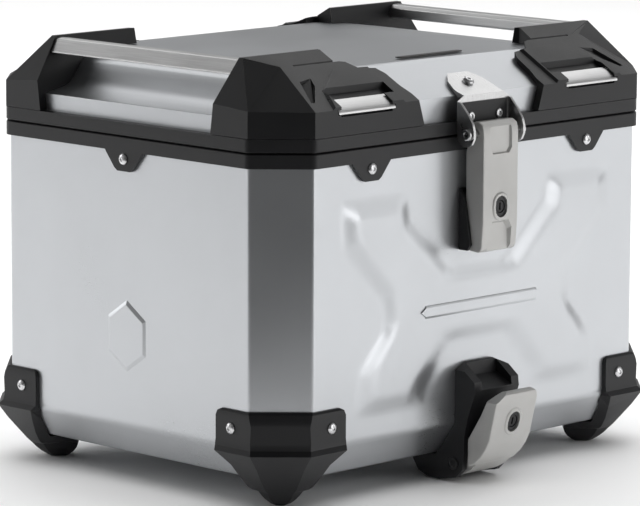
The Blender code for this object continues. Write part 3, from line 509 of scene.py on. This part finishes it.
def distance_to(points, outline):
    """Return each point's distance to a closed outline, and whether it is inside."""
    best = np.full(len(points), 1e9)
    inside = np.zeros(len(points), bool)
    corners = np.array(outline, float)
    for start, end in zip(corners, np.roll(corners, -1, axis=0)):
        edge = end - start
        share = np.clip(((points - start) @ edge) / (edge @ edge), 0.0, 1.0)
        gap = np.hypot(*(points - start - share[:, None] * edge).T)
        best = np.minimum(best, gap)
        crosses = (start[1] > points[:, 1]) != (end[1] > points[:, 1])
        if crosses.any() and end[1] != start[1]:
            at = start[0] + (points[:, 1] - start[1]) * edge[0] / (end[1] - start[1])
            inside ^= crosses & (points[:, 0] < at)
    return best, inside


def press_height(points):
    """Height of the pressed X over points given in millimetres on the wall."""
    to_foot, in_foot = distance_to(points, PRESS_FOOT)
    to_top, in_top = distance_to(points, PRESS_TOP)
    share = np.where(in_foot, to_foot / (to_foot + to_top + 1e-9), 0.0)
    share = np.where(in_top, 1.0, share)
    return PRESS_HEIGHT * share * share * (3.0 - 2.0 * share)


def body_rings():
    """Rings of the outer surface, from the middle of the floor up to the rim."""
    seat_low, seat_high = (-138.0 * MM, -112.0 * MM), (138.0 * MM, 104.0 * MM)
    seat_levels = [(-12.0, 0.0), (-0.6, 0.0), (0.0, 0.15), (1.1, 1.2), (1.9, 1.4)]
    rings = []
    around = wall_outline(-22.5 * MM)
    for grow_mm, z_mm in seat_levels:
        grow = grow_mm * MM
        ring = []
        for x, y, _, _, _ in around:
            limit_x = (seat_high[0] + grow) if x > 0 else -(seat_low[0] - grow)
            limit_y = (seat_high[1] + grow) if y > 0 else -(seat_low[1] - grow)
            across = (abs(x) / limit_x) ** SEAT_ROUNDING
            along = (abs(y) / limit_y) ** SEAT_ROUNDING
            shrink = (across + along) ** (1.0 / SEAT_ROUNDING)
            ring.append((x / shrink, y / shrink, z_mm * MM))
        rings.append(ring)
    lower = [
        (-22.5, 1.4), (-21.0, 1.5), (-19.9, 1.8), (-18.9, 2.5), (-18.0, 3.6), (-16.0, 6.2),
        (-9.0, 15.6), (-2.6, 24.1), (-1.7, 25.4), (-0.9, 26.9), (-0.35, 28.3), (-0.08, 29.8),
        (0.0, 31.5),
    ]
    for offset, z in lower:
        rings.append([(x, y, z * MM) for x, y, _, _, _ in wall_outline(offset * MM)])
    rows = round((RIM_Z - STRAIGHT_START_Z) / GRID)
    outline = wall_outline(0.0)
    for row in range(rows + 1):
        z = STRAIGHT_START_Z + (RIM_Z - STRAIGHT_START_Z) * row / rows
        flat = np.array([(x / MM, z / MM) for x, _, _, _, _ in outline])
        heights = press_height(flat)
        ring = []
        for (x, y, out_x, out_y, wall), height in zip(outline, heights):
            lift = height if wall in ("front", "rear") else 0.0
            ring.append((x + out_x * lift, y + out_y * lift, z))
        rings.append(ring)
    return rings


def build_shell():
    """Fold the thin sheet body with its soft pressed X."""
    points, faces = skin(body_rings(), close_start=True, close_end=False)
    shell = new_piece("body_sheet", points, faces, silver, "case")
    thick = shell.modifiers.new("sheet_thickness", "SOLIDIFY")
    thick.thickness = SHEET
    thick.offset = -1.0
    finish_edges(shell, 0.0)
    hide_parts("body_shell")


build_shell()


def pressed_relief(name, outline, levels, place):
    """Raised relief: an outline grown by each level's amount at each level's height."""
    rings = []
    for grow, height in levels:
        rings.append([place(a + math.copysign(grow, a), b, grow, height) for a, b in outline])
    points, faces = skin(rings)
    made = new_piece(name, points, faces, silver, "case")
    finish_edges(made, 0.35 * MM, 2, 8.0)


LOZENGE_MIDDLE = 117.0
LOZENGE_HALF_HEIGHT = 4.5


def on_front_press(a, b, grow, height):
    """Point of the lozenge bar, in millimetres along and up the front press."""
    level = LOZENGE_MIDDLE + (b - LOZENGE_MIDDLE) * (1.0 + grow / LOZENGE_HALF_HEIGHT)
    return Vector((a * MM, shell_low.y + (LOZENGE_HEIGHT - height * MM), level * MM))


LOZENGE = [(-65.0, 117.0), (-60.6, 112.8), (60.6, 112.8), (65.0, 117.0), (60.6, 121.2), (-60.6, 121.2)]
LOZENGE_LEVELS = [(0.9, -0.6), (0.8, 0.0), (0.4, 0.35), (-0.6, 0.85), (-1.3, LOZENGE_HEIGHT / MM)]
pressed_relief("front_lozenge", LOZENGE, LOZENGE_LEVELS, on_front_press)

PAD_OUTLINE = [(0.0, 24.0), (-20.8, 12.0), (-20.8, -12.0), (0.0, -24.0), (20.8, -12.0), (20.8, 12.0)]
PAD_LEVELS = [(0.0, -0.6), (0.0, 0.0), (-0.9, 0.22), (-2.6, 0.80), (-3.5, PAD_HEIGHT / MM)]
PAD_RADIUS = 24.0
PAD_MIDDLE_Z = 96.0
PAD_STRETCH = 1.15


def on_side_wall(outward):
    """Return the function that places a six-sided pad's points on one side wall."""
    def place(a, b, grow, height):
        shrink = 1.0 + grow / PAD_RADIUS
        wall = outward * (HALF_WIDTH + height * MM)
        reach = a - math.copysign(grow, a)
        return Vector((wall, reach * shrink * MM, (PAD_MIDDLE_Z + b * shrink * PAD_STRETCH) * MM))

    return place


for side, outward in (("left", -1.0), ("right", 1.0)):
    pressed_relief("side_pad_" + side, PAD_OUTLINE, PAD_LEVELS, on_side_wall(outward))


# ---------------------------------------------------------------- rivets, screws and pins
RIVET_HEAD = [
    (-1.85, 1.5), (-1.85, 4.1), (-1.75, 4.25), (-1.5, 4.28), (-1.15, 4.1), (-0.8, 3.75), (-0.45, 3.2),
    (-0.2, 2.6), (-0.04, 2.05), (0.0, 1.75), (-0.2, 1.5), (-0.85, 1.4), (-0.9, 1.2), (-0.6, 1.05),
    (-0.45, 0.6), (-0.42, 0.12),
]
WEB_SCREW = [
    (-4.2, 1.1), (-4.0, 1.5), (-1.15, 1.5), (-1.15, 3.45), (-1.05, 3.58), (-0.6, 3.6), (-0.25, 3.3),
    (-0.06, 2.9), (0.0, 2.5), (0.0, 1.95, 6), (-0.12, 1.8, 6), (-0.95, 1.75, 6), (-1.0, 0.6, 6),
]
TOP_SCREW = [
    (-5.5, 1.1), (-5.3, 1.5), (-1.85, 1.5), (-1.85, 4.45), (-1.7, 4.6), (-1.3, 4.6), (-0.8, 4.2),
    (-0.35, 3.5), (-0.1, 2.9), (0.0, 2.6), (0.0, 1.75, 6), (-0.15, 1.65, 6), (-1.2, 1.6, 6),
    (-1.25, 0.6, 6),
]


def in_metres(profile):
    """Scale a profile from millimetres."""
    return [(along * MM, radius * MM, *flats) for along, radius, *flats in profile]


def replace_turned(name, profile, place, axis, look):
    """Put a finer turned piece in place of a CAD node."""
    body = nodes[name]["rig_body"]
    made = turned(name + "_fine", in_metres(profile), place, axis, look, body, slot_of(name))
    finish_edges(made, 0.0)
    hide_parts(name)


def end_of(name, axis):
    """Outer end of a node that lies along one of the frame's axes."""
    low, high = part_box(name)
    main = Vector(axis)
    reach = abs(main.dot(Vector(high) - Vector(low))) / 2.0
    return (Vector(low) + Vector(high)) / 2.0 + main * reach, reach * 2.0 / MM


def outward_axis(name):
    """Direction in which a rivet's or screw's head points."""
    if "_side_" in name:
        return (-1.0, 0.0, 0.0) if name.endswith("left") else (1.0, 0.0, 0.0)
    return (0.0, 1.0, 0.0) if "_rear" in name else (0.0, -1.0, 0.0)


for name in [name for name in nodes if "_rivet_" in name]:
    axis = outward_axis(name)
    head_top, length = end_of(name, axis)
    tail = [
        (-length, 0.8), (-length + 0.1, 1.3), (-length + 0.5, 1.9), (-length + 1.1, 2.2),
        (-length + 1.6, 2.0), (-length + 1.75, 1.5),
    ]
    replace_turned(name, tail + RIVET_HEAD, head_top, axis, bright_metal)

for name in ("latch_screw_web_left", "latch_screw_web_right"):
    axis = outward_axis(name)
    replace_turned(name, WEB_SCREW, end_of(name, axis)[0], axis, bright_metal)

# From the middle of a top screw's box to its seat, and from there to the top of its head.
SEAT_BACK = 0.71 * MM
SEAT_DOWN = 0.50 * MM
TOP_SCREW_RISE = 3.0 * MM
for face, outward in (("front", -1.0), ("rear", 1.0)):
    name = "latch_screw_top_" + face
    low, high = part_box(name)
    axis = Vector((0.0, outward * 0.5, 0.866)).normalized()
    seat = (Vector(low) + Vector(high)) / 2.0 - Vector((0.0, outward * SEAT_BACK, SEAT_DOWN))
    replace_turned(name, TOP_SCREW, seat + axis * TOP_SCREW_RISE, axis, bright_metal)


def pin_profile(half, collar, shaft, head, crown):
    """Full profile of a pin with two domed heads."""
    right = [
        (half - collar, shaft), (half - collar, head - 0.25), (half - collar + 0.25, head),
        (half - 0.9, head), (half - 0.45, head - 0.35), (half - 0.1, head - 1.1),
        (half, crown), (half - 0.05, crown - 0.3), (half - 0.5, crown - 0.6), (half - 0.55, 0.2),
    ]
    left = [(-along, radius) for along, radius in reversed(right)]
    return left + right


for name, shaft, collar, head, look in (
    ("latch_pin_front", 2.6, 2.7, 4.4, stainless), ("latch_pin_rear", 2.6, 2.7, 4.4, stainless),
    ("carrier_lock_pin", 3.1, 1.6, 5.0, gloss_black),
):
    low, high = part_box(name)
    half = (high[0] - low[0]) / 2.0 / MM
    middle = (Vector(low) + Vector(high)) / 2.0
    replace_turned(name, pin_profile(half, collar, shaft, head, 2.6), middle, (1.0, 0.0, 0.0), look)


# ---------------------------------------------------------------- CAD nodes that keep their shape
FINER = ("_rivet_", "latch_screw", "latch_pin", "carrier_lock_pin", "body_shell")
for name in nodes:
    if any(word in name for word in FINER):
        continue
    if name.startswith("lid_corner"):
        refine(name, 0.6 * MM, 2, None, 9.0)
    elif name.startswith("corner_protector"):
        refine(name, 0.9 * MM, 3, None, 16.0)
    elif name.startswith("lock_plug"):
        refine(name, 0.25 * MM, 2, gloss_black)
    elif name.startswith("lashing_bar"):
        refine(name, 0.5 * MM, 2, lashing_metal)
    elif name.startswith("carry_bar"):
        refine(name, 0.7 * MM, 3)
    elif name.startswith(("body_collar", "lid_frame")):
        refine(name, 0.5 * MM, 2)
    elif name == "lid_panel":
        refine(name, 0.6 * MM, 2, lid_silver)
    elif name.startswith(("carrier_lock_housing", "latch_catch")):
        refine(name, 0.8 * MM, 2)
    else:
        refine(name, 0.25 * MM, 2)


# ---------------------------------------------------------------- studio
CAMERA_AZIMUTH = math.radians(45.25)
towards_camera = Vector((-math.sin(CAMERA_AZIMUTH), -math.cos(CAMERA_AZIMUTH), 0.0))
across_view = Vector((-towards_camera.y, towards_camera.x, 0.0))


def stage_floor():
    """Pale floor that runs far back and to both sides and ends a little in front of the case."""
    front, back, side = 0.58, 9.0, 7.0
    corners = []
    for reach, shift in ((front, -side), (front, side), (-back, side), (-back, -side)):
        corners.append(towards_camera * reach + across_view * shift + Vector((0.0, 0.0, cad_low.z)))
    mesh = bpy.data.meshes.new("studio_floor")
    mesh.from_pydata([tuple(corner) for corner in corners], [], [(0, 1, 2, 3)])
    made = bpy.data.objects.new("studio_floor", mesh)
    scene.collection.objects.link(made)
    look = Recipe("pale_floor")
    tone = look.blend(look.noise(3.0), (0.87, 0.87, 0.87), (0.89, 0.89, 0.89))
    grain = look.bump(look.noise(300.0), 0.02, 0.1 * MM)
    mesh.materials.append(look.finish(tone, 0.0, 0.9, grain, 0.1))
    return made


SURROUND = 0.26
SURROUND_DARK = 0.10
OVERHEAD_START = 0.72
OVERHEAD_END = 0.93
OVERHEAD_SHARE = 0.22


def studio_world():
    """Soft surround, darker behind the camera and overhead, with a plain white backdrop."""
    world = bpy.data.worlds.new("studio_world")
    world.use_nodes = True
    tree = world.node_tree
    background = tree.nodes["Background"]
    direction = tree.nodes.new("ShaderNodeTexCoord").outputs["Generated"]
    facing = tree.nodes.new("ShaderNodeVectorMath")
    facing.operation = "DOT_PRODUCT"
    tree.links.new(direction, facing.inputs[0])
    facing.inputs[1].default_value = (*towards_camera.xy, -0.1)
    level = tree.nodes.new("ShaderNodeMapRange")
    level.interpolation_type = "SMOOTHSTEP"
    tree.links.new(facing.outputs["Value"], level.inputs["Value"])
    level.inputs["From Min"].default_value = 0.1
    level.inputs["From Max"].default_value = 0.85
    level.inputs["To Min"].default_value = SURROUND
    level.inputs["To Max"].default_value = SURROUND_DARK
    height = tree.nodes.new("ShaderNodeSeparateXYZ")
    tree.links.new(direction, height.inputs[0])
    overhead = tree.nodes.new("ShaderNodeMapRange")
    overhead.interpolation_type = "SMOOTHSTEP"
    tree.links.new(height.outputs["Z"], overhead.inputs["Value"])
    overhead.inputs["From Min"].default_value = OVERHEAD_START
    overhead.inputs["From Max"].default_value = OVERHEAD_END
    overhead.inputs["To Min"].default_value = 1.0
    overhead.inputs["To Max"].default_value = OVERHEAD_SHARE
    combined = tree.nodes.new("ShaderNodeMath")
    combined.operation = "MULTIPLY"
    tree.links.new(level.outputs["Result"], combined.inputs[0])
    tree.links.new(overhead.outputs["Result"], combined.inputs[1])
    tree.links.new(combined.outputs[0], background.inputs["Strength"])
    backdrop = tree.nodes.new("ShaderNodeBackground")
    backdrop.inputs["Strength"].default_value = 1.0
    seen = tree.nodes.new("ShaderNodeLightPath")
    mixed = tree.nodes.new("ShaderNodeMixShader")
    tree.links.new(seen.outputs["Is Camera Ray"], mixed.inputs["Fac"])
    tree.links.new(background.outputs[0], mixed.inputs[1])
    tree.links.new(backdrop.outputs[0], mixed.inputs[2])
    tree.links.new(mixed.outputs[0], tree.nodes["World Output"].inputs["Surface"])
    for shade in (background, backdrop):
        shade.inputs["Color"].default_value = (1.0, 1.0, 1.0, 1.0)
    scene.world = world


def softbox(name, place, target, wide, tall, power):
    """Rectangular soft light aimed at a point."""
    data = bpy.data.lights.new(name, "AREA")
    data.shape = "RECTANGLE"
    data.size = wide
    data.size_y = tall
    data.energy = power
    lamp = bpy.data.objects.new(name, data)
    scene.collection.objects.link(lamp)
    lamp.location = place
    aim = Vector(target) - Vector(place)
    lamp.rotation_mode = "QUATERNION"
    lamp.rotation_quaternion = aim.to_track_quat("-Z", "Y")
    return lamp


floor = stage_floor()
studio_world()
softbox("softbox_right_high", (2.2, 0.7, 2.1), (0.0, 0.0, 0.2), 1.9, 1.9, 13.0)
softbox("softbox_back_high", (0.7, 2.4, 2.3), (0.0, 0.0, 0.2), 2.2, 2.2, 16.0)
softbox("softbox_right_low", (0.60, -1.70, 0.50), (0.0, 0.0, 0.12), 0.7, 1.1, 5.0)
softbox("softbox_right_side", (2.0, -1.6, 0.65), (0.0, 0.0, 0.15), 0.9, 1.3, 4.2)
softbox("softbox_left", (-1.25, 2.15, 0.85), (0.0, 0.0, 0.18), 1.2, 1.2, 9.5)

# A wide light on the floor alone keeps the ground pale without washing out the case.
floor_set = bpy.data.collections.new("floor_only")
floor_set.objects.link(floor)
floor_lamp = softbox("softbox_floor", (1.0, 1.0, 5.0), (1.0, 1.0, 0.0), 9.0, 9.0, 450.0)
floor_lamp.light_linking.receiver_collection = floor_set


# ---------------------------------------------------------------- camera
CAMERA_PLACE = Vector((-2.35486, -2.33022, 0.67050))
CAMERA_ELEVATION = math.radians(9.17)
CAMERA_ROLL = math.radians(0.24)
CAMERA_LENS = 240.57
backward = Vector((
    -math.sin(CAMERA_AZIMUTH) * math.cos(CAMERA_ELEVATION),
    -math.cos(CAMERA_AZIMUTH) * math.cos(CAMERA_ELEVATION),
    math.sin(CAMERA_ELEVATION),
))
level_right = Vector((math.cos(CAMERA_AZIMUTH), -math.sin(CAMERA_AZIMUTH), 0.0))
level_up = backward.cross(level_right)
right = level_right * math.cos(CAMERA_ROLL) + level_up * math.sin(CAMERA_ROLL)
up = level_up * math.cos(CAMERA_ROLL) - level_right * math.sin(CAMERA_ROLL)
camera_data = bpy.data.cameras.new("camera")
camera_data.lens = CAMERA_LENS
camera_data.sensor_width = 36.0
camera_data.clip_end = 100.0
camera = bpy.data.objects.new("camera", camera_data)
scene.collection.objects.link(camera)
turn = Matrix((right, up, backward)).transposed().to_4x4()
camera.matrix_world = Matrix.Translation(CAMERA_PLACE) @ turn
scene.camera = camera
scene.view_settings.view_transform = "Standard"
